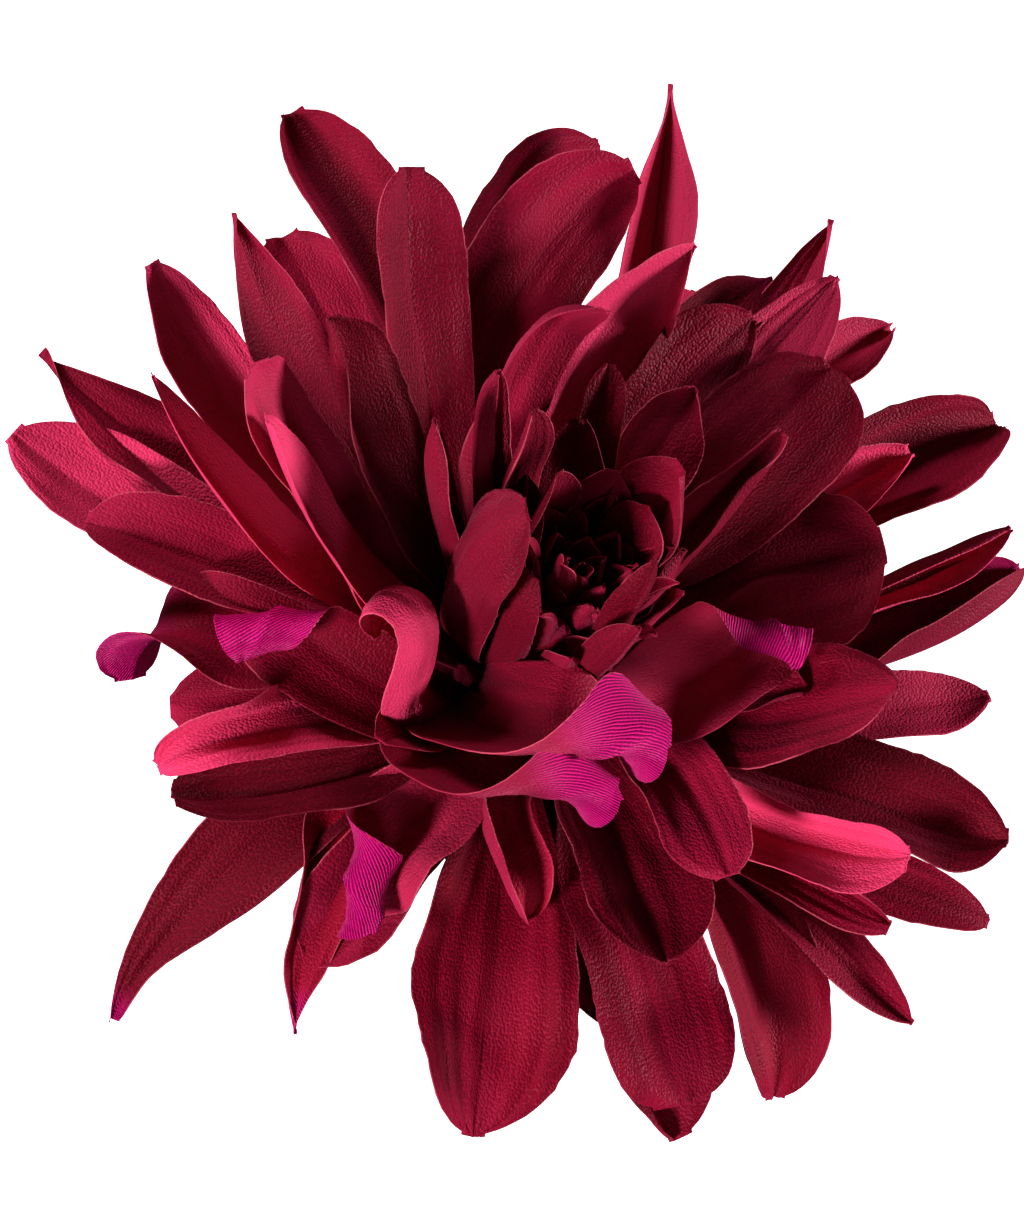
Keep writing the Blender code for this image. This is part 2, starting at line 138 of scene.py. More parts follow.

# Florets listed one by one: name, row on the dome (0 low, 1 top), azimuth, rise above the horizontal at the
# root, bend (outwards and down), side bend (clockwise from above), length, width, and what is unusual.
FLORETS = (
    # Far side, outer rows
    ("far_1", 0.04, 93, 13, 14, -17, 0.077, 0.014, {"fold": 45, "tip": 0.9}),
    ("far_2", 0.10, 134, 14, 22, 66, 0.076, 0.014, {"tip": 0.1, "widest": 0.7}),
    ("far_3", 0.08, 95, 11, 24, 10, 0.056, 0.010, {}),
    ("far_4", 0.08, 77, 15, 13, -11, 0.069, 0.011, {"tip": 0.9}),
    ("far_5", 0.18, 81, 21, 20, 7, 0.059, 0.012, {"tip": 0.6}),
    ("far_6", 0.05, 82, 12, 24, 24, 0.066, 0.011, {"fold": 30}),
    ("far_7", 0.10, 55, 14, 16, -2, 0.063, 0.019, {"fold": 30, "tip": 0.1}),
    ("far_8", 0.25, 56, 25, 25, 1, 0.048, 0.011, {"tip": 0.3}),
    ("far_9", 0.35, 68, 36, 18, -2, 0.045, 0.018, {"cup": -10, "tip": 0.0}),
    ("far_10", 0.25, 100, 23, 29, 36, 0.058, 0.012, {"tip": 0.5}),
    ("far_11", 0.40, 99, 39, 18, 38, 0.045, 0.012, {"turn": 10}),
    ("far_12", 0.30, 145, 29, -6, 80, 0.062, 0.016, {"cup": 30, "tip": 0.2, "widest": 0.68}),
    ("far_13", 0.35, 129, 36, -16, 65, 0.052, 0.012, {"turn": 10, "tip": 0.5}),
    ("far_14", 0.50, 57, 52, 10, -2, 0.036, 0.009, {"turn": 40, "tip": 0.5}),
    ("far_15", 0.05, 143, 9, 16, 6, 0.058, 0.014, {"tip": 0.0}),
    ("far_16", 0.10, 129, 14, 21, -15, 0.072, 0.016, {"fold": 30, "tip": 0.0, "widest": 0.7}),
    ("far_17", 0.30, 150, 34, -5, 25, 0.056, 0.012, {"cup": 25, "tip": 0.0, "widest": 0.7}),
    ("far_18", 0.15, 124, 16, 24, 2, 0.053, 0.011, {}),
    ("far_19", 0.25, 171, 30, -7, 21, 0.060, 0.012, {"tip": 0.7}),
    # Right-hand side
    ("right_1", 0.10, 34, 12, 13, -23, 0.057, 0.010, {"cup": 70, "tip": 0.3}),
    ("right_2", 0.06, 22, 7, 9, -44, 0.060, 0.015, {"fold": 30, "tip": 0.3}),
    ("right_3", 0.00, 19, 1, 14, -22, 0.052, 0.010, {"tip": 0.3}),
    ("right_4", 0.35, 48, 35, 28, 16, 0.038, 0.019, {"cup": 10, "tip": 0.0}),
    ("right_5", 0.45, 338, 44, 59, -91, 0.036, 0.015,
     {"turn": 48, "twist": 151, "twist_from": 0.5, "curl": -244, "curl_from": 0.6, "tip": 0.7,
      "widest": 0.5}),
    ("right_6", 0.25, 353, 33, -15, -24, 0.041, 0.016, {"cup": 15, "tip": 0.3}),
    ("right_7", 0.10, 0, 9, 10, -11, 0.052, 0.016, {}),
    ("right_8", 0.20, 335, 15, -16, -26, 0.046, 0.012, {"tip": 0.0}),
    ("right_9", 0.00, 351, 0, 5, -20, 0.054, 0.010, {"tip": 0.4}),
    ("right_10", 0.10, 338, 9, 0, -17, 0.044, 0.009, {}),
    ("right_11", 0.00, 344, -5, 15, -6, 0.053, 0.009, {"cup": 60, "tip": 0.3}),
    ("right_12", 0.40, 342, 38, 22, 40, 0.034, 0.011, {"tip": 0.1}),
    # Near side
    ("near_1", 0.30, 312, 24, 20, 4, 0.036, 0.015, {"tip": 0.1}),
    ("near_2", 0.10, 312, 10, 16, 3, 0.047, 0.016, {"cup": 15, "tip": 0.0, "widest": 0.7}),
    ("near_3", 0.00, 311, -5, 18, -5, 0.048, 0.013, {"tip": 0.1, "widest": 0.7}),
    ("near_4", 0.05, 347, -2, 42, 34, 0.053, 0.015, {}),
    ("near_5", 0.05, 284, 1, 20, -7, 0.047, 0.020, {"cup": 25, "tip": 0.5}),
    ("near_6", 0.30, 270, 11, 8, -58, 0.027, 0.010, {"curl": 80}),
    ("near_7", 0.28, 264, 17, 60, 39, 0.035, 0.015,
     {"turn": 3, "twist": -167, "twist_from": 0.5, "curl": -204, "curl_from": 0.6, "tip": 0.0}),
    ("near_8", 0.05, 237, -4, 29, -56, 0.045, 0.012, {"tip": 1.0, "widest": 0.5}),
    # Left-hand side
    ("left_1", 0.00, 231, -4, 33, -25, 0.057, 0.013, {"tip": 1.0, "widest": 0.5}),
    ("left_2", 0.20, 245, 8, -2, 34, 0.043, 0.011, {"tip": 0.0}),
    ("left_3", 0.30, 233, 25, 10, 13, 0.046, 0.010, {"curl": 70, "tip": 0.1}),
    ("left_4", 0.20, 213, 18, 19, 31, 0.047, 0.014,
     {"turn": -5, "twist": 72, "twist_from": 0.55, "curl": 117, "curl_from": 0.6, "tip": 0.0,
      "widest": 0.75}),
    ("left_5", 0.42, 251, 31, 95, 76, 0.045, 0.013,
     {"turn": -59, "twist": -146, "twist_from": 0.55, "curl": -249, "curl_from": 0.6, "tip": 0.3}),
    ("left_6", 0.12, 191, 16, 14, 2, 0.048, 0.013, {"tip": 0.1}),
    ("left_7", 0.08, 192, 4, -2, 23, 0.060, 0.015, {}),
    ("left_8", 0.06, 180, 8, 4, 16, 0.062, 0.015, {"tip": 0.9, "widest": 0.5}),
    ("left_9", 0.25, 203, 30, -24, 24, 0.061, 0.009, {"tip": 0.7}),
    ("left_10", 0.15, 181, 21, -13, 27, 0.061, 0.013, {"tip": 0.3}),
    # Middle rows, standing round the bud on its left and far sides
    ("middle_1", 0.45, 185, 46, -14, 19, 0.052, 0.014, {"tip": 0.0}),
    ("middle_2", 0.40, 204, 40, -22, 23, 0.058, 0.015, {"tip": 0.0}),
    ("middle_3", 0.50, 216, 43, -22, 26, 0.056, 0.010, {"tip": 0.1}),
    ("middle_4", 0.60, 197, 57, -20, 13, 0.044, 0.009, {"cup": 65}),
    ("middle_5", 0.60, 168, 60, -14, 16, 0.041, 0.009, {"cup": 65}),
    ("middle_6", 0.50, 158, 48, -40, 45, 0.051, 0.012, {"curl": -60}),
    ("middle_7", 0.60, 106, 60, 12, -1, 0.033, 0.007, {"cup": 65}),
    ("middle_8", 0.60, 164, 64, -26, 13, 0.037, 0.009, {}),
    ("middle_9", 0.65, 107, 64, 13, -10, 0.027, 0.008, {}),
    ("middle_10", 0.50, 85, 51, 13, 1, 0.033, 0.010, {}),
    # Rows that stand in front of the bud
    ("front_1", 0.50, 246, 6, 40, -160, 0.050, 0.012,
     {"turn": 110, "twist": 22, "curl": -246, "curl_from": 0.55, "cup": 75}),
    ("front_2", 0.50, 236, 29, 69, -129, 0.046, 0.019,
     {"turn": 72, "twist": -140, "twist_from": 0.60, "curl": -94, "curl_from": 0.68, "tip": 0.0}),
    ("front_3", 0.42, 232, 18, 53, -142, 0.046, 0.017,
     {"turn": 57, "twist": -142, "twist_from": 0.60, "curl": -99, "curl_from": 0.68, "tip": 0.0}),
    # Bud
    ("bud_1", 0.50, 215, 50, -62, -5, 0.047, 0.014, {"cup": 40}),
    ("bud_2", 0.50, 239, 64, -34, -2, 0.034, 0.011, {"cup": 50}),
    ("bud_3", 0.58, 268, 72, -28, 7, 0.028, 0.009, {"cup": 50}),
    ("bud_4", 0.66, 285, 80, -20, 4, 0.022, 0.009, {"cup": 50}),
    ("bud_5", 0.58, 211, 75, -16, 1, 0.030, 0.010, {"cup": 50}),
    ("bud_6", 0.66, 160, 77, -14, 2, 0.025, 0.009, {"cup": 50}),
    ("bud_7", 0.62, 164, 74, -24, 5, 0.033, 0.010, {"cup": 50}),
    ("bud_8", 0.80, 119, 81, -2, 1, 0.017, 0.007, {"cup": 60}),
    ("bud_9", 0.78, 60, 79, -2, 0, 0.019, 0.007, {"cup": 60}),
    ("bud_10", 0.74, 61, 77, -4, -4, 0.026, 0.009, {"cup": 60}),
    ("bud_11", 0.55, 305, 74, -26, -10, 0.038, 0.008, {"cup": 75}),
    ("bud_12", 0.48, 297, 66, -28, -9, 0.035, 0.009, {"cup": 75}),
    ("bud_13", 0.62, 58, 66, -23, -5, 0.033, 0.013, {"cup": 60}),
    ("bud_14", 0.58, 28, 70, -17, -3, 0.027, 0.010, {"cup": 60}),
    ("bud_15", 0.66, 119, 72, -15, 12, 0.029, 0.009, {"cup": 55}),
)

# Bracts' shape
BRACT = {"cup": 25, "tip": 0.4, "widest": 0.5, "claw": 0.7}

# Florets that fill the rows behind and under those, each ring evenly spaced:
# count, first azimuth, row, rise, bend, length, width
RINGS = (
    (7, 0, 0.00, -8, 12, 0.034, 0.013),
    (3, 5, 0.38, 40, 6, 0.028, 0.009),
    (3, 10, 0.92, 82, 4, 0.016, 0.005),
)
RING_SHAPE = {"cup": 40}

# Low florets behind the bloom whose tips rest on the surface
RESTING = (
    ("rest_1", 0.00, 65, -14, 16, 0, 0.050, 0.013, {}),
    ("rest_2", 0.00, 112, -14, 16, 0, 0.050, 0.013, {}),
    ("rest_3", 0.00, 158, -14, 16, 0, 0.050, 0.013, {}),
)

# What makes a floret's look its own. upper and under: how magenta each face is from the place "from" on;
# warm: redder where above 0; light: painted light, pinker where above 0, and painted shade, duskier where
# below 0, given for each floret by how lit or shaded it is, with a little random tone added; ribs and wave:
# how strong the ribs and the waved edges are; pinch: how far the edges rise at the tip; length and width:
# shares of those in the table; rolls: edges that roll over, each as (side, place across, degrees, place
# along where it begins).
LOOKS = {
    "far_1": {"light": 0.9, "ribs": 1.8, "wave": 0.6},
    "far_2": {"ribs": 2.0},
    "far_3": {"light": 0.5},
    "far_4": {"light": 0.6, "rolls": [(1, 0.3, 60, 0.5)]},
    "far_5": {"light": 0.5, "ribs": 2.0, "wave": 1.5},
    "far_6": {"light": 0.6, "ribs": 1.8},
    "far_7": {"light": -0.4, "ribs": 1.8},
    "far_8": {"light": 1.25, "rolls": [(-1, 0.4, 60, 0.4)]},
    "far_9": {"light": -0.5, "ribs": 1.9},
    "far_10": {"upper": 0.7, "from": 0.93, "light": -1.0, "rolls": [(1, 0.5, 50, 0.4)]},
    "far_11": {"light": -0.3},
    "far_12": {"ribs": 1.3, "rolls": [(-1, 0.5, -40, 0.5)]},
    "far_13": {"light": 0.8, "rolls": [(1, 0.45, 70, 0.7)]},
    "far_14": {"light": -0.3, "wave": 1.5, "rolls": [(1, 0.3, 90, 0.3)]},
    "far_16": {"light": -0.4, "ribs": 1.8},
    "far_17": {"light": -0.3, "ribs": 0.7},
    "far_19": {"ribs": 1.3},
    "right_1": {"light": 1.25, "rolls": [(-1, 0.2, 80, 0.3)]},
    "right_2": {"upper": 0.5, "from": 0.86, "light": -0.4, "rolls": [(1, 0.3, 60, 0.45)]},
    "right_3": {"light": 0.3, "ribs": 2.0},
    "right_4": {"light": -0.4, "ribs": 1.4},
    "right_5": {"under": 1.0, "from": 0.7, "light": 0.6, "wave": 0.5, "pinch": 0.0},
    "right_6": {"light": -0.3, "ribs": 2.0},
    "right_7": {"light": -0.7, "ribs": 2.2},
    "right_8": {"light": 1.25, "ribs": 2.2, "rolls": [(-1, 0.3, 60, 0.3)]},
    "right_9": {"ribs": 1.8},
    "right_10": {"light": 0.1, "ribs": 1.8, "rolls": [(-1, 0.3, 90, 0.4)]},
    "right_11": {"ribs": 2.0},
    "right_12": {"light": 0.2, "ribs": 2.0, "wave": 1.6},
    "near_1": {"light": -0.6, "ribs": 2.2},
    "near_2": {"light": -0.2, "ribs": 2.4},
    "near_3": {"light": -0.2, "ribs": 2.4},
    "near_4": {"warm": 0.3, "light": -0.2, "ribs": 2.2},
    "near_5": {"warm": 0.2, "light": -0.3, "ribs": 2.4},
    "near_6": {"warm": 1.0, "light": 0.4, "ribs": 1.8, "wave": 1.8,
               "rolls": [(1, 0.3, 70, 0.3), (-1, 0.4, 60, 0.3)]},
    "near_7": {"under": 1.0, "from": 0.66, "light": 0.5, "wave": 0.6, "pinch": 0.0},
    "near_8": {"upper": 0.7, "under": 0.9, "from": 0.86, "warm": 0.8, "ribs": 2.0,
               "rolls": [(1, 0.3, 60, 0.4)]},
    "left_1": {"upper": 0.8, "under": 0.9, "from": 0.9, "light": -0.8, "ribs": 1.8},
    "left_2": {"warm": 0.2, "light": -0.7, "ribs": 2.2},
    "left_3": {"light": 1.2, "ribs": 2.0, "rolls": [(1, 0.3, 60, 0.6)]},
    "left_4": {"upper": 0.3, "under": 1.0, "from": 0.76, "pinch": 0.0},
    "left_5": {"under": 1.0, "from": 0.7, "light": -0.2, "wave": 0.5, "pinch": 0.0},
    "left_6": {"light": 0.1, "ribs": 1.3},
    "left_7": {"light": 0.9, "wave": 0.6},
    "left_8": {"light": -0.3, "ribs": 2.0},
    "left_9": {"upper": 0.5, "from": 0.95, "light": 1.25},
    "left_10": {"light": 0.8, "ribs": 1.8},
    "middle_1": {"light": -0.8, "ribs": 2.0},
    "middle_2": {"light": 0.6, "ribs": 2.0},
    "middle_3": {"light": 1.25},
    "middle_4": {"light": -0.4, "rolls": [(1, 0.4, 70, 0.3)]},
    "middle_5": {"light": -0.3, "ribs": 1.8, "rolls": [(-1, 0.4, 70, 0.3)]},
    "middle_7": {"light": -0.6, "ribs": 2.0},
    "middle_8": {"light": -0.5, "ribs": 2.0},
    "middle_9": {"light": -0.5},
    "middle_10": {"light": -0.3},
    "front_1": {"warm": 0.8, "light": 0.8, "wave": 0.4, "pinch": 0.0},
    "front_2": {"under": 1.0, "from": 0.73, "wave": 0.5, "pinch": 0.0},
    "front_3": {"under": 1.0, "from": 0.77, "wave": 0.5, "pinch": 0.0},
    "bud_1": {"light": -0.5},
    "bud_2": {"light": -0.8, "width": 0.85},
    "bud_3": {"light": -0.8, "length": 0.8, "width": 0.75},
    "bud_4": {"light": -0.8, "length": 0.7, "width": 0.75},
    "bud_5": {"light": -0.8, "width": 0.8},
    "bud_6": {"light": -0.6},
    "bud_7": {"light": -0.5},
    "bud_8": {"light": -0.6},
    "bud_9": {"light": -0.6},
    "bud_10": {"light": -0.6},
    "bud_11": {"light": -0.8, "width": 0.75},
    "bud_12": {"light": -0.7, "width": 0.75, "rolls": [(-1, 0.3, 90, 0.3)]},
    "bud_13": {"light": -0.3},
    "bud_14": {"light": -0.3},
}

# Small florets packed inside the bud, each turned from the last by the golden angle
BUD_COUNT = 24
GOLDEN_ANGLE = 137.5
BUD_SHAPE = {"cup": 65, "tip": 0.5}
BUD_LOOK = {"wave": 0.5}

# Narrow rolled florets around the bud: row, azimuth, rise, bend, length, width
BUD_TUBES = (
    (0.73, 258, 78, 2, 0.0285, 0.0060),
    (0.84, 306, 85, 2, 0.0205, 0.0070),
    (0.66, 300, 80, 0, 0.0240, 0.0055),
    (0.71, 358, 82, 3, 0.0285, 0.0055),
    (0.62, 335, 78, 0, 0.0250, 0.0060),
    (0.45, 37, 78, 2, 0.0215, 0.0055),
    (0.84, 26, 86, 2, 0.0215, 0.0055),
    (0.90, 241, 87, 2, 0.0260, 0.0055),
    (0.60, 111, 78, -4, 0.0185, 0.0070),
    (0.55, 66, 76, -3, 0.0200, 0.0055),
    (0.50, 85, 75, -3, 0.0230, 0.0060),
    (0.70, 150, 80, -4, 0.0230, 0.0060),
    (0.76, 205, 84, 0, 0.0270, 0.0055),
)
TUBE_SHAPE = {"cup": 82, "tip": 0.55, "curl": 25, "curl_from": 0.8, "widest": 0.5}
TUBE_LOOK = {"wave": 0.6, "ribs": 1.2}


def smooth(t):
    t = np.clip(t, 0.0, 1.0)
    return t * t * (3.0 - 2.0 * t)


def floret_shape(row, azimuth, rise, bend, side, length, width, unusual):
    shape = dict(USUAL)
    shape.update(row=row, azimuth=azimuth, rise=rise, bend=bend, side=side, length=length, width=width)
    shape.update(unusual)
    return shape


def own_shape(shape, rng):
    """The shape with a slight curl of the tip and a crease of its own where the table gives none."""
    shape = dict(shape)
    if shape["curl"] == 0.0:
        shape["curl"] = rng.uniform(-30.0, 22.0)
        shape["curl_from"] = 0.78
    if shape["fold"] == 0.0:
        shape["fold"] = rng.uniform(0.0, 18.0)
    return shape


def turned(vector, turning):
    """The vector turned about an axis whose length is the angle in radians."""
    angle = np.linalg.norm(turning)
    if angle < 1e-12:
        return vector
    axis = turning / angle
    return (vector * math.cos(angle) + np.cross(axis, vector) * math.sin(angle)
            + axis * (axis @ vector) * (1.0 - math.cos(angle)))


def shares_from(start, steps):
    """How a bend that begins at the place start is shared out over the steps of the midline."""
    middles = (np.arange(steps) + 0.5) / steps
    shares = np.where(middles > start, smooth(2.0 * (middles - start) / (1.0 - start)), 0.0)
    return shares / shares.sum()


def root_on_dome(row):
    """Radius and height of a floret's root."""
    return DOME_RADIUS * math.sqrt(1.0 - row), HEAD_HEIGHT + DOME_HEIGHT * row


def midline(shape, steps, root):
    """Arrays of points, along, up and across vectors from the root to the tip."""
    azimuth = math.radians(shape["azimuth"])
    rise = math.radians(shape["rise"])
    outwards = np.array([math.cos(azimuth), math.sin(azimuth), 0.0])
    upright = np.array([0.0, 0.0, 1.0])
    along = outwards * math.cos(rise) + upright * math.sin(rise)
    up = upright * math.cos(rise) - outwards * math.sin(rise)
    up = turned(up, along * math.radians(shape["turn"]))
    radius, height = root
    point = outwards * radius + upright * height
    step = shape["length"] / steps
    curls = shape["curl"] * shares_from(shape["curl_from"], steps)
    twists = shape["twist"] * shares_from(shape["twist_from"], steps)
    listed = [(point, along, up)]
    for curl, twist in zip(curls, twists):
        across = np.cross(along, up)
        bend = shape["bend"] / steps + curl
        turning = np.radians(-bend * across - shape["side"] / steps * up + twist * along)
        point = point + turned(along, 0.5 * turning) * step
        along = turned(along, turning)
        up = turned(up, turning)
        listed.append((point, along, up))
    points, alongs, ups = (np.array(part) for part in zip(*listed))
    return points, alongs, ups, np.cross(alongs, ups)


def midline_at(shape, s, root):
    """Points, up and across vectors at the places s along, the first one deep inside the head."""
    spots = s * MIDLINE_STEPS
    low = np.minimum(spots.astype(int), MIDLINE_STEPS - 1)
    part = (spots - low)[:, None]
    points, alongs, ups, acrosses = (
        a[low] * (1.0 - part) + a[low + 1] * part for a in midline(shape, MIDLINE_STEPS, root))
    points[0] -= alongs[0] * ROOT_DEPTH
    return points, ups, acrosses


def half_width(shape, s):
    """Half the floret's width at the places s, measured round its cupped section."""
    widest = shape["widest"]
    grown = np.sin(0.5 * np.pi * np.clip(s / widest, 0.0, 1.0)) ** 1.3
    rising = shape["claw"] + (1.0 - shape["claw"]) * grown
    t = np.clip((s - widest) / (1.0 - widest), 0.0, 1.0)
    falling = (1.0 - t ** (4.2 - 2.8 * shape["tip"])) ** (0.5 + 0.5 * shape["tip"])
    return 0.5 * shape["width"] * np.where(s < widest, rising, falling)


def soft_noise(rng, u, v, across, along):
    """Smooth random heights from -1 to 1 over the unit square, from a small random net."""
    net = rng.uniform(-1.0, 1.0, (across + 2, along + 2))
    a = np.clip(u, 0.0, 1.0) * across
    b = np.clip(v, 0.0, 1.0) * along
    i = np.minimum(a.astype(int), across)
    j = np.minimum(b.astype(int), along)
    fa = smooth(a - i)
    fb = smooth(b - j)
    low = net[i, j] * (1.0 - fa) + net[i + 1, j] * fa
    high = net[i, j + 1] * (1.0 - fa) + net[i + 1, j + 1] * fa
    return low * (1.0 - fb) + high * fb


def above_surface(z, lowest):
    gap = z - lowest
    return lowest + 0.5 * (gap + np.hypot(gap, FLOOR_SOFTNESS))


def half_section(cup, crease, rolls, s, near):
    """Offsets across and up and the slope on one side, at the distances near from the midline."""
    places = (np.arange(SECTION_STEPS) + 0.5) / SECTION_STEPS
    slope = cup[:, None] * places + crease[:, None] * np.tanh(places / 0.15)
    for place, degrees, begin in rolls:
        slope = slope + degrees * smooth((places - place) / 0.3) * smooth((s - begin) / 0.2)[:, None]
    slope = np.radians(slope)
    none = np.zeros((len(s), 1))
    run = np.concatenate([none, np.cumsum(np.cos(slope), 1) / SECTION_STEPS], 1)
    lift = np.concatenate([none, np.cumsum(np.sin(slope), 1) / SECTION_STEPS], 1)
    ends = np.concatenate([slope, slope[:, -1:]], 1)
    stops = np.linspace(0.0, 1.0, SECTION_STEPS + 1)
    return [np.array([np.interp(near, stops, row) for row in part]) for part in (run, lift, ends)]


def section(shape, look, pinch, s, x):
    """Offsets across and up and the slope of the cupped and creased section, for each row."""
    cup = np.where(s < 0.5, ROOT_CUP + (shape["cup"] - ROOT_CUP) * smooth(s / 0.5),
                   shape["cup"] * (1.0 - 0.4 * smooth((s - 0.5) / 0.5)))
    cup = cup + pinch * smooth((s - 0.75) / 0.25)
    crease = shape["fold"] * smooth(s / 0.5)
    sides, rises, slopes = np.zeros((3, len(s), len(x)))
    for sign, chosen in ((-1, x <= 0.0), (1, x > 0.0)):
        rolls = [roll[1:] for roll in look.get("rolls", []) if roll[0] == sign]
        run, lift, slope = half_section(cup, crease, rolls, s, abs(x[chosen]))
        sides[:, chosen] = sign * run
        rises[:, chosen] = lift
        slopes[:, chosen] = sign * slope
    return sides, rises, slopes


def uneven_width(rng, half, lean, S, X):
    """Half widths with one side wider than the other and ragged margins towards the tip."""
    u = (X + 1.0) / 2.0
    ragged = soft_noise(rng, u, S, 2, 26) * 0.5 + soft_noise(rng, u, S, 2, 60) * 0.5
    ragged = ragged * 0.035 * smooth((S - 0.3) / 0.5) * abs(X) ** 3
    return half[:, None] * (1.0 + ragged + lean * np.sign(X) * smooth((S - 0.35) / 0.5))


def relief(rng, shape, look, S, X):
    """Heights of the ribs, the slow ripples and the waved edges."""
    scale = shape["width"] / RELIEF_WIDTH
    heights = np.zeros_like(S)
    for place in np.linspace(-0.78, 0.78, RIB_COUNT):
        middle = place + rng.uniform(-0.06, 0.06)
        drift = rng.uniform(-0.05, 0.05)
        size = rng.uniform(0.04, 0.26) * 0.001 * scale * look.get("ribs", 1.0)
        spread = rng.uniform(0.05, 0.12)
        heights += size * np.exp(-((X - middle - drift * (S - 0.5)) / spread) ** 2)
    heights -= MIDRIB_DEPTH * scale * np.exp(-(X / 0.09) ** 2)
    heights *= smooth(S / 0.25) * (1.0 - 0.55 * smooth((S - 0.8) / 0.2))
    u = (X + 1.0) / 2.0
    ripples = soft_noise(rng, u, S, 2, 5) * 0.0006
    ripples = ripples + soft_noise(rng, u, S, 4, 12) * 0.00016
    heights += ripples * scale * smooth(S / 0.3)
    for sign in (-1.0, 1.0):
        waves = rng.uniform(1.2, 3.0)
        begin = rng.uniform(0.0, 1.0)
        size = rng.uniform(0.15, 0.8) * 0.001 * scale * look.get("wave", 1.0)
        edge = np.clip(sign * X, 0.0, 1.0) ** 3
        heights += size * edge * np.sin(2.0 * np.pi * (waves * S + begin)) * smooth(S / 0.5)
    return heights


def blade_faces(rows, columns):
    """Quads round the blade and over its ends. A first or last corner given twice stands for a triangle."""
    around = 2 * columns + 4
    index = np.arange((rows + 1) * around).reshape(rows + 1, around)
    following = np.roll(index, -1, 1)
    faces = [np.stack([index[1:], following[1:], following[:-1], index[:-1]], -1).reshape(-1, 4)]
    for row, flip in ((0, True), (rows, False)):
        top = index[row, :columns + 1]
        bottom = index[row, columns + 2:2 * columns + 3][::-1]
        left, right = index[row, -1], index[row, columns + 1]
        caps = (np.stack([top[:-1], bottom[:-1], bottom[1:], top[1:]], -1),
                np.array([[top[0], left, bottom[0], bottom[0]]]),
                np.array([[bottom[-1], right, top[-1], top[-1]]]))
        faces.extend(cap[:, ::-1] if flip else cap for cap in caps)
    return np.concatenate(faces)


def blade_values(rng, shape, look, seed, s, x, half):
    """Every point's place on the blade, its measures in metres and its tones, painted light and shade among
    them.
    """
    net = (len(s), 2 * len(x) + 2)
    around = np.concatenate([x, [1.0], x[::-1], [-1.0]])
    face = np.concatenate([np.ones(len(x)), [0.5], np.zeros(len(x)), [0.5]])
    along = np.broadcast_to(s[:, None], net)
    magenta = np.where(face > 0.5, look.get("upper", 0.0), look.get("under", 0.0))
    magenta = magenta[None, :] * smooth((along - look.get("from", 0.8)) / 0.10)
    # Painted light and shade: the floret's listed lightness, with a little random tone
    light = look.get("light", 0.0) + rng.uniform(-0.15, 0.15)
    place = (np.broadcast_to(around, net), along, np.broadcast_to(face, net))
    metric = (around[None, :] * half[:, None], along * shape["length"], np.full(net, seed * 0.37))
    tone = (magenta, np.full(net, look.get("warm", 0.0)), np.full(net, light))
    return tuple(np.stack(values, -1).reshape(-1, 3) for values in (place, metric, tone))


def closed_loops(sheet, normal, outer, thickness, S, X):
    """The sheet's points made into rows of closed loops: upper face, right rim, under face, left rim."""
    thick = thickness * (1.0 - 0.62 * abs(X) ** 4) * (1.0 - 0.5 * smooth((S - 0.9) / 0.1))
    upper = sheet + normal * (0.5 * thick)[:, :, None]
    under = sheet - normal * (0.5 * thick)[:, :, None]
    rim_right = sheet[:, -1] + outer[:, -1] * 0.5 * thick[:, -1:]
    rim_left = sheet[:, 0] - outer[:, 0] * 0.5 * thick[:, :1]
    return np.concatenate([upper, rim_right[:, None], under[:, ::-1], rim_left[:, None]], 1)


def blade(shape, seed, look, net, thickness=BLADE_THICKNESS, root=None):
    """Points, faces and shading values of one fine closed blade."""
    rows, columns = net
    rng = np.random.default_rng(seed)
    lean = rng.uniform(-0.22, 0.22)
    pinch = rng.uniform(-20.0, 45.0) * look.get("pinch", 1.0)
    shape = own_shape(shape, rng)
    # Rows lie closer towards the tip, and columns towards the edges
    s = 1.0 - (1.0 - np.linspace(0.0, 1.0, rows + 1)) ** 1.25
    x = np.linspace(-1.0, 1.0, columns + 1)
    x = 0.6 * np.sin(0.5 * np.pi * x) + 0.4 * x
    S, X = np.meshgrid(s, x, indexing="ij")
    points, ups, acrosses = midline_at(shape, s, root or root_on_dome(shape["row"]))
    half = half_width(shape, np.minimum(s, 0.992))
    sides, rises, slopes = section(shape, look, pinch, s, x)
    points, ups, acrosses = points[:, None, :], ups[:, None, :], acrosses[:, None, :]
    sines, cosines = np.sin(slopes)[:, :, None], np.cos(slopes)[:, :, None]
    normal = -sines * acrosses + cosines * ups
    outer = acrosses * cosines + ups * sines
    width = uneven_width(rng, half, lean, S, X)
    sheet = points + acrosses * (sides * width)[:, :, None] + ups * (rises * width)[:, :, None]
    sheet += normal * relief(rng, shape, look, S, X)[:, :, None]
    sheet[:, :, 2] = above_surface(sheet[:, :, 2], CLEARANCE + 0.5 * thickness)
    loops = closed_loops(sheet, normal, outer, thickness, S, X)
    values = blade_values(rng, shape, look, seed, s, x, half)
    return (loops.reshape(-1, 3), blade_faces(rows, columns), *values)


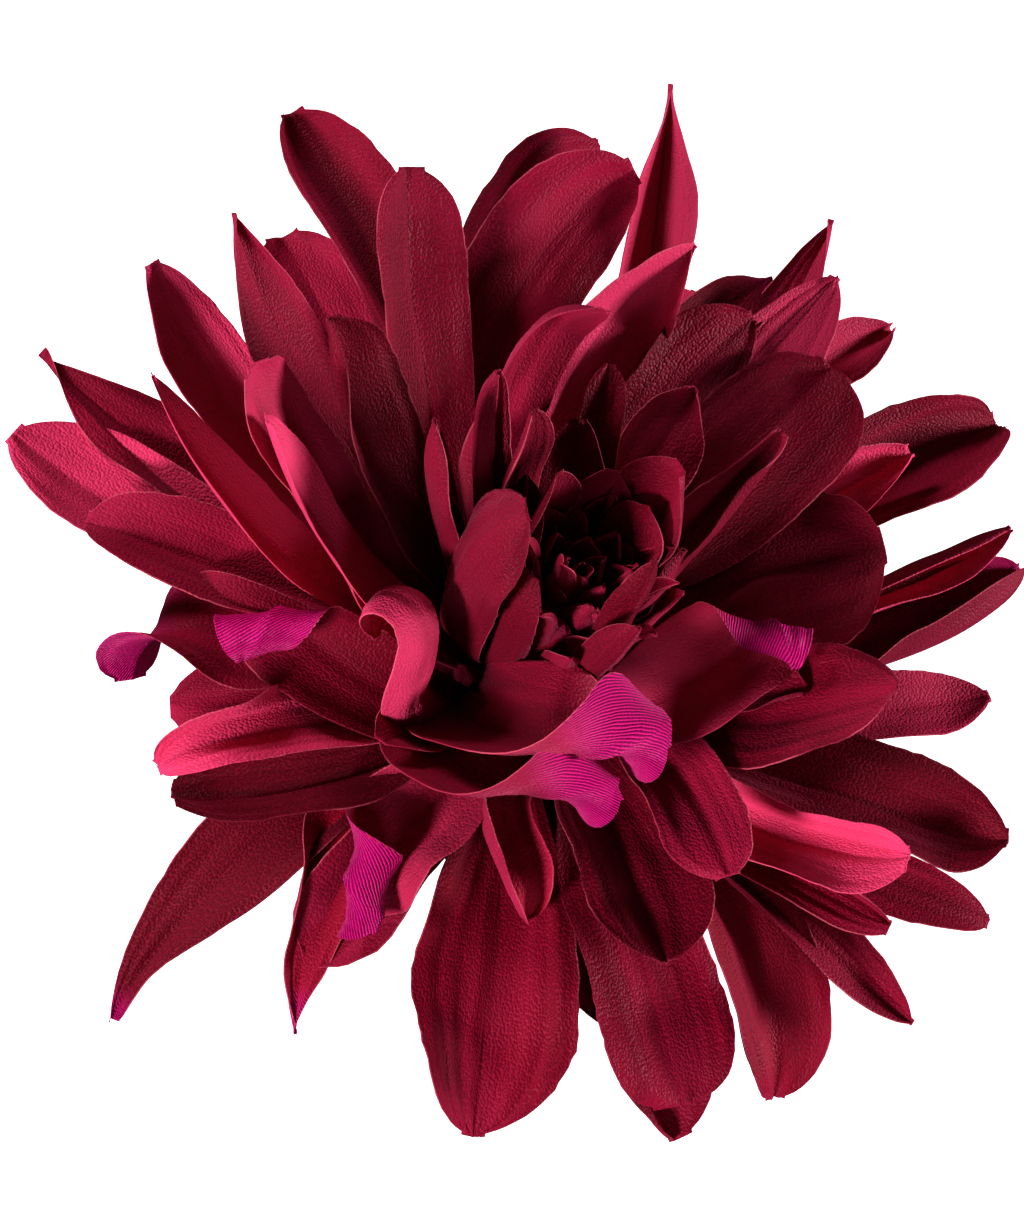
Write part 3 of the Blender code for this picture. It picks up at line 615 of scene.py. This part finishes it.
def lathe(profile, sides, ribs=0, depth=0.0):
    """A closed turned body with the same shading values as a blade, and lengthwise ribs if asked."""
    profile = np.array(profile)
    rows = len(profile)
    angle = 2.0 * np.pi * np.arange(sides) / sides
    swell = 1.0 + depth * np.cos(ribs * angle)
    radius = profile[:, 0][:, None] * swell[None, :]
    height = np.broadcast_to(profile[:, 1][:, None], radius.shape)
    points = np.stack([radius * np.cos(angle), radius * np.sin(angle), height], -1).reshape(-1, 3)
    around = len(points)
    points = np.concatenate([points, [[0.0, 0.0, profile[0, 1]], [0.0, 0.0, profile[-1, 1]]]])
    index = np.arange(around).reshape(rows, sides)
    following = np.roll(index, -1, 1)
    faces = [np.stack([index[:-1], following[:-1], following[1:], index[1:]], -1).reshape(-1, 4)]
    bottom, top = np.full(sides, around), np.full(sides, around + 1)
    faces.append(np.stack([following[0], index[0], bottom, bottom], -1))
    faces.append(np.stack([index[-1], following[-1], top, top], -1))
    place = np.zeros((len(points), 3))
    place[:around, 1] = np.repeat(np.linspace(0.0, 0.5, rows), sides)
    metric = np.zeros((len(points), 3))
    metric[:around, 0] = np.tile(angle * profile[:, 0].max(), rows)
    metric[:around, 1] = points[:around, 2]
    return points, np.concatenate(faces), place, metric, np.zeros((len(points), 3))


def polygon(corners):
    """The quad, or the triangle where its last or first corner is given twice."""
    a, b, c, d = corners
    if c == d:
        return a, b, c
    return (b, c, d) if a == b else (a, b, c, d)


def piece(name, parts, material, nodes):
    """One mesh object from several blades or turned bodies."""
    points, faces, places, metrics, tones = zip(*parts)
    starts = itertools.accumulate((len(part) for part in points), initial=0)
    faces = np.concatenate([quads + start for quads, start in zip(faces, starts)])
    polygons = [polygon(corners) for corners in faces.tolist()]
    mesh = bpy.data.meshes.new(name)
    mesh.from_pydata(np.concatenate(points).tolist(), [], polygons)
    for label, values in (("place", places), ("metric", metrics), ("tone", tones)):
        attribute = mesh.attributes.new(label, "FLOAT_VECTOR", "POINT")
        attribute.data.foreach_set("vector", np.concatenate(values).astype(np.float32).ravel())
    mesh.polygons.foreach_set("use_smooth", np.ones(len(polygons), bool))
    mesh.update()
    made = bpy.data.objects.new(name, mesh)
    bpy.context.scene.collection.objects.link(made)
    made.data.materials.append(material)
    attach(made, "root")
    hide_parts(*nodes)


class Nodes:
    """Short calls for building a material's nodes."""

    def __init__(self, name):
        self.material = bpy.data.materials.new(name)
        self.material.use_nodes = True
        self.tree = self.material.node_tree
        self.tree.nodes.clear()

    def fill(self, socket, value):
        if isinstance(value, bpy.types.NodeSocket):
            self.tree.links.new(value, socket)
        else:
            socket.default_value = value

    def add(self, kind, inputs=(), **settings):
        node = self.tree.nodes.new(kind)
        for key, value in settings.items():
            setattr(node, key, value)
        for key, value in dict(inputs).items():
            self.fill(node.inputs[key], value)
        return node

    def attribute(self, name):
        return self.add("ShaderNodeAttribute", attribute_name=name).outputs["Vector"]

    def numbers(self, name):
        """The three numbers of an attribute."""
        return tuple(self.add("ShaderNodeSeparateXYZ", {0: self.attribute(name)}).outputs)

    def scaled(self, vector, across, along):
        return self.add("ShaderNodeMapping", {"Vector": vector, "Scale": (across, along, 1.0)}).outputs[0]

    def noise(self, vector, detail, scale=1.0):
        return self.add("ShaderNodeTexNoise", {"Vector": vector, "Scale": scale, "Detail": detail}).outputs[0]

    def maths(self, operation, a, b=0.0):
        return self.add("ShaderNodeMath", {0: a, 1: b}, operation=operation).outputs[0]

    def times(self, a, b):
        return self.maths("MULTIPLY", a, b)

    def step(self, value, low, high, to_low=0.0, to_high=1.0):
        node = self.add("ShaderNodeMapRange", {"Value": value, "From Min": low, "From Max": high,
                                               "To Min": to_low, "To Max": to_high})
        node.interpolation_type = "SMOOTHSTEP"
        return node.outputs[0]

    def mix(self, factor, a, b):
        """Colours a and b mixed. A colour is a socket or red, green and blue."""
        node = self.add("ShaderNodeMix", data_type="RGBA")
        for number, value in ((0, factor), (6, a), (7, b)):
            self.fill(node.inputs[number], (*value, 1.0) if isinstance(value, tuple) else value)
        return node.outputs[2]

    def finished(self, shader, through, share):
        """The material of the shader, with a share of the light that comes through from behind."""
        mixed = self.add("ShaderNodeMixShader", {0: share, 1: shader.outputs[0], 2: through.outputs[0]})
        self.add("ShaderNodeOutputMaterial", {"Surface": mixed.outputs[0]})
        return self.material


def petal_colour(n, tone, veins, broad, blotch, cells, ridges):
    """Deep velvet crimson above, paler and rosier below, with magenta tips, painted light and shade for each
    floret, painted shade at the roots and painted highlights on the margins.
    """
    x, s, face = n.numbers("place")
    magenta, warm, light = tone
    patches = n.step(broad, 0.3, 0.7)
    upper = n.mix(patches, PETAL["deep"], PETAL["clear"])
    upper = n.mix(n.times(warm, 0.7), upper, PETAL["warm"])
    under = n.mix(patches, PETAL["under_deep"], PETAL["under_clear"])
    colour = n.mix(face, under, upper)
    colour = n.mix(n.times(n.step(veins, 0.42, 0.62), 0.20), colour, PETAL["vein"])
    rosy = n.times(n.step(s, 0.35, 1.0), n.step(blotch, 0.35, 0.65, 0.10, 0.45))
    colour = n.mix(rosy, colour, PETAL["rosy"])
    # Painted shade where the lightness is below 0 and painted light where it is above 0
    painted_shade_and_tone = n.times(n.maths("MAXIMUM", n.times(light, -1.0), 0.0), 1.2)
    colour = n.mix(painted_shade_and_tone, colour, PETAL["dusky_and_painted_shade"])
    colour = n.mix(n.step(cells, 0.15, 0.65, 0.0, 0.24), colour, PETAL["cell"])
    painted_light_and_tone = n.times(n.maths("MAXIMUM", light, 0.0), 0.8)
    colour = n.mix(painted_light_and_tone, colour, PETAL["light"])
    striped = n.mix(n.step(ridges, 0.25, 0.75), PETAL["magenta_deep"], PETAL["magenta_clear"])
    colour = n.mix(magenta, colour, striped)
    # Painted shade towards the root, where the florets cover one another
    painted_root_shade = n.maths("SUBTRACT", 1.0, n.step(s, 0.0, 0.5, 0.2, 1.0))
    colour = n.mix(painted_root_shade, colour, PETAL["root"])
    # Painted highlight in patches along the margins
    rim = n.times(n.step(n.maths("ABSOLUTE", x), 0.985, 1.0), n.step(blotch, 0.42, 0.60, 0.05, 0.55))
    rim = n.times(rim, n.step(s, 0.25, 0.55))
    return n.mix(rim, colour, PETAL["rim"])


def petal_bump(n, magenta, veins, cells, ridges):
    """Fine relief: cells, lengthwise lines, and the ridges of the magenta tips."""
    height = n.maths("ADD", n.times(cells, 0.6), n.times(veins, 0.45))
    height = n.maths("ADD", height, n.times(n.times(ridges, magenta), 1.6))
    return n.add("ShaderNodeBump", {"Height": height, "Strength": 0.7, "Distance": 0.00026}).outputs[0]


def petal_material():
    n = Nodes("dahlia_petal")
    metric = n.attribute("metric")
    tone = n.numbers("tone")
    magenta = tone[0]
    veins = n.noise(n.scaled(metric, 3200.0, 160.0), 2.0)
    broad = n.noise(n.scaled(metric, 260.0, 26.0), 2.0)
    blotch = n.noise(n.scaled(metric, 120.0, 90.0), 2.0)
    cells = n.add("ShaderNodeTexVoronoi", {"Vector": n.scaled(metric, 3600.0, 2600.0), "Scale": 1.0},
                  voronoi_dimensions="2D", feature="F1").outputs[0]
    ridges = n.add("ShaderNodeTexWave", {"Vector": n.scaled(metric, 950.0, 650.0), "Scale": 1.7,
                                         "Distortion": 3.0, "Detail": 1.0, "Detail Scale": 0.35},
                   wave_type="BANDS", bands_direction="DIAGONAL").outputs["Fac"]
    colour = petal_colour(n, tone, veins, broad, blotch, cells, ridges)
    bump = petal_bump(n, magenta, veins, cells, ridges)
    rough = n.maths("SUBTRACT", n.step(blotch, 0.3, 0.7, 0.47, 0.61), n.times(magenta, 0.08))
    shader = n.add("ShaderNodeBsdfPrincipled", {
        "Base Color": colour, "Roughness": rough, "Normal": bump, "Specular IOR Level": 0.10,
        "Sheen Weight": 0.20, "Sheen Roughness": 0.38, "Sheen Tint": SHEEN_TINT})
    glow = n.mix(magenta, PETAL["glow"], PETAL["magenta_glow"])
    through = n.add("ShaderNodeBsdfTranslucent", {"Color": glow, "Normal": bump})
    return n.finished(shader, through, 0.13)


def leaf_material(name, base, deep, tip):
    n = Nodes(name)
    metric = n.attribute("metric")
    s = n.numbers("place")[1]
    veins = n.noise(n.scaled(metric, 1800.0, 90.0), 3.0)
    mottle = n.noise(metric, 4.0, 500.0)
    colour = n.mix(n.step(mottle, 0.35, 0.65), deep, base)
    colour = n.mix(n.times(n.step(veins, 0.4, 0.65), 0.4), colour, deep)
    colour = n.mix(n.step(s, 0.55, 1.0), colour, tip)
    bump = n.add("ShaderNodeBump", {"Height": veins, "Strength": 0.5, "Distance": 0.0002}).outputs[0]
    rough = n.step(mottle, 0.3, 0.7, 0.45, 0.65)
    shader = n.add("ShaderNodeBsdfPrincipled", {"Base Color": colour, "Roughness": rough, "Normal": bump,
                                                "Specular IOR Level": 0.4})
    through = n.add("ShaderNodeBsdfTranslucent", {"Color": colour})
    return n.finished(shader, through, 0.15)


def group_of(shape):
    """The piece that a floret belongs to, by its row."""
    if shape["row"] < OUTER_END:
        return "outer_florets"
    return "middle_florets" if shape["row"] < MIDDLE_END else "bud_florets"


def placed_florets():
    """The florets of the tables: piece, shape, look and net of each."""
    for name, *entry in FLORETS + RESTING:
        look = LOOKS.get(name, {})
        shape = floret_shape(*entry)
        shape["length"] *= look.get("length", 1.0)
        shape["width"] *= look.get("width", 1.0)
        yield group_of(shape), shape, look, BLADE_NET
    for count, first, row, rise, bend, length, width in RINGS:
        for i in range(count):
            shape = floret_shape(row, first + 360.0 * i / count, rise, bend, 0, length, width, RING_SHAPE)
            yield group_of(shape), shape, {}, RING_NET


def young_florets():
    """The florets in and around the bud, in the same form."""
    for i in range(BUD_COUNT):
        shape = floret_shape(0.98 - 0.016 * i, GOLDEN_ANGLE * i, 88 - 0.8 * i, -8, 0,
                             0.0185 + 0.0003 * i, 0.0056, BUD_SHAPE)
        yield "bud_florets", shape, BUD_LOOK, BUD_NET
    for row, azimuth, rise, bend, length, width in BUD_TUBES:
        shape = floret_shape(row, azimuth, rise, bend, 0, length, width, TUBE_SHAPE)
        yield "bud_florets", shape, TUBE_LOOK, TUBE_NET


def core():
    """The dome that closes the gaps between the roots."""
    profile = [(DOME_RADIUS, HEAD_HEIGHT - 0.0024)]
    for i in reversed(range(13)):
        angle = 0.5 * math.pi * (i + 0.02) / 12.02
        profile.append(((DOME_RADIUS + CORE_MARGIN * 0.6) * math.sin(angle),
                        HEAD_HEIGHT + (DOME_HEIGHT + CORE_MARGIN * 0.5) * math.cos(angle)))
    return lathe(profile, 48)


def build_florets():
    groups = {"outer_florets": [], "middle_florets": [], "bud_florets": []}
    florets = itertools.chain(placed_florets(), young_florets())
    for seed, (group, shape, look, net) in enumerate(florets, 1):
        groups[group].append(blade(shape, seed, look, net))
    groups["bud_florets"].append(core())
    material = petal_material()
    for name, parts in groups.items():
        piece(name, parts, material, ["ray_florets"])


def bract_ring(count, first, rise, bend, length, width, root, net, thickness, first_seed):
    ring = []
    for i in range(count):
        shape = floret_shape(0.0, 360.0 / count * i + first, rise, bend, 0, length, width, BRACT)
        ring.append(blade(shape, first_seed + i, {}, net, thickness, root))
    return ring


def build_bracts():
    papery = leaf_material("papery_bract", (0.42, 0.36, 0.14), (0.22, 0.20, 0.06), (0.45, 0.30, 0.16))
    green = leaf_material("green_bract", (0.13, 0.22, 0.045), (0.05, 0.11, 0.02), (0.16, 0.17, 0.05))
    collar = lathe([(COLLAR_RADIUS, COLLAR_BOTTOM), (COLLAR_RADIUS - 0.0003, COLLAR_BOTTOM + 0.002),
                    (COLLAR_RADIUS - 0.001, COLLAR_TOP)], 60, 20, 0.02)
    ring = bract_ring(10, 0.0, 2, 12, 0.0135, 0.0075, (0.0055, 0.0158), PAPERY_NET, 0.0005, 300)
    piece("papery_bracts", [collar, *ring], papery, ["inner_bracts"])
    stalk = lathe([(STALK_RADIUS * 0.97, 0.0), (STALK_RADIUS, 0.0004), (STALK_RADIUS, 0.0050),
                   (STALK_RADIUS + 0.0003, 0.0066), (STALK_RADIUS + 0.0008, 0.0080),
                   (STALK_RADIUS + 0.0019, 0.0095), (BASE_RADIUS - 0.0003, 0.0108),
                   (BASE_RADIUS, 0.0118), (BASE_RADIUS - 0.0001, BASE_TOP)], 72, 12, 0.02)
    ring = bract_ring(7, 15.0, 0, 38, 0.0150, 0.0062, (0.0048, 0.0112), GREEN_NET, 0.0006, 320)
    piece("stalk_and_green_bracts", [stalk, *ring], green,
          ["stalk_and_outer_bracts"])


def build_stage():
    """A pale floor that doesn't light the bloom and isn't mirrored in it."""
    mesh = bpy.data.meshes.new("floor")
    corners = [(a * FLOOR_REACH, b * FLOOR_REACH, 0.0) for a, b in ((-1, -1), (1, -1), (1, 1), (-1, 1))]
    mesh.from_pydata(corners, [], [(0, 1, 2, 3)])
    floor = bpy.data.objects.new("floor", mesh)
    bpy.context.scene.collection.objects.link(floor)
    n = Nodes("pale_floor")
    matte = n.add("ShaderNodeBsdfPrincipled", {"Base Color": (0.7, 0.7, 0.7, 1.0), "Roughness": 0.9,
                                               "Emission Color": (1.0, 1.0, 1.0, 1.0),
                                               "Emission Strength": FLOOR_GLOW})
    n.add("ShaderNodeOutputMaterial", {"Surface": matte.outputs[0]})
    n.material.cycles.emission_sampling = "NONE"
    floor.data.materials.append(n.material)
    floor.visible_diffuse = False
    floor.visible_glossy = False


def build_lamps():
    for name, place, size, power in LAMPS:
        light = bpy.data.lights.new(name, "AREA")
        light.shape = "DISK"
        light.size = size
        light.energy = power
        lamp = bpy.data.objects.new(name, light)
        lamp.location = place
        lamp.rotation_euler = (Vector(LAMP_AIM) - Vector(place)).to_track_quat("-Z", "Y").to_euler()
        bpy.context.scene.collection.objects.link(lamp)


def build_world():
    """Pale where the camera sees it past the floor, dim as a light."""
    world = bpy.data.worlds.new("studio")
    world.use_nodes = True
    tree = world.node_tree
    background = tree.nodes["Background"]
    background.inputs["Color"].default_value = (1.0, 0.96, 0.96, 1.0)
    rays = tree.nodes.new("ShaderNodeLightPath")
    strength = tree.nodes.new("ShaderNodeMath")
    strength.operation = "MULTIPLY_ADD"
    strength.inputs[1].default_value = WORLD_SEEN - WORLD_LIGHT
    strength.inputs[2].default_value = WORLD_LIGHT
    tree.links.new(rays.outputs["Is Camera Ray"], strength.inputs[0])
    tree.links.new(strength.outputs[0], background.inputs["Strength"])
    bpy.context.scene.world = world


def build_camera():
    sine, cosine = math.sin(CAMERA_ELEVATION), math.cos(CAMERA_ELEVATION)
    back = Vector((0.0, -cosine, sine))
    level_right = Vector((1.0, 0.0, 0.0))
    level_up = Vector((0.0, sine, cosine))
    right = math.cos(CAMERA_ROLL) * level_right + math.sin(CAMERA_ROLL) * level_up
    up = -math.sin(CAMERA_ROLL) * level_right + math.cos(CAMERA_ROLL) * level_up
    off_x = (HEAD_PIXEL[0] - FRAME_WIDTH / 2) / PIXELS_PER_METRE
    off_y = (HEAD_PIXEL[1] - FRAME_HEIGHT / 2) / PIXELS_PER_METRE
    place = Vector((0.0, 0.0, HEAD_HEIGHT)) - right * off_x + up * off_y + back * CAMERA_DISTANCE
    camera = bpy.data.objects.new("camera", bpy.data.cameras.new("camera"))
    camera.data.sensor_width = SENSOR_WIDTH
    camera.data.lens = PIXELS_PER_METRE * CAMERA_DISTANCE / FRAME_HEIGHT * SENSOR_WIDTH
    camera.data.clip_start = 0.01
    turn = Matrix((right, up, back)).transposed().to_4x4()
    camera.matrix_world = Matrix.Translation(place) @ turn
    bpy.context.scene.collection.objects.link(camera)
    bpy.context.scene.camera = camera


build_camera()
build_stage()
build_lamps()
build_world()
build_florets()
build_bracts()
light_paths = bpy.context.scene.cycles
light_paths.max_bounces = 4
light_paths.diffuse_bounces = 2
light_paths.transmission_bounces = 2
bpy.context.scene.view_settings.view_transform = "Standard"
bpy.context.scene.view_settings.look = "Medium High Contrast"
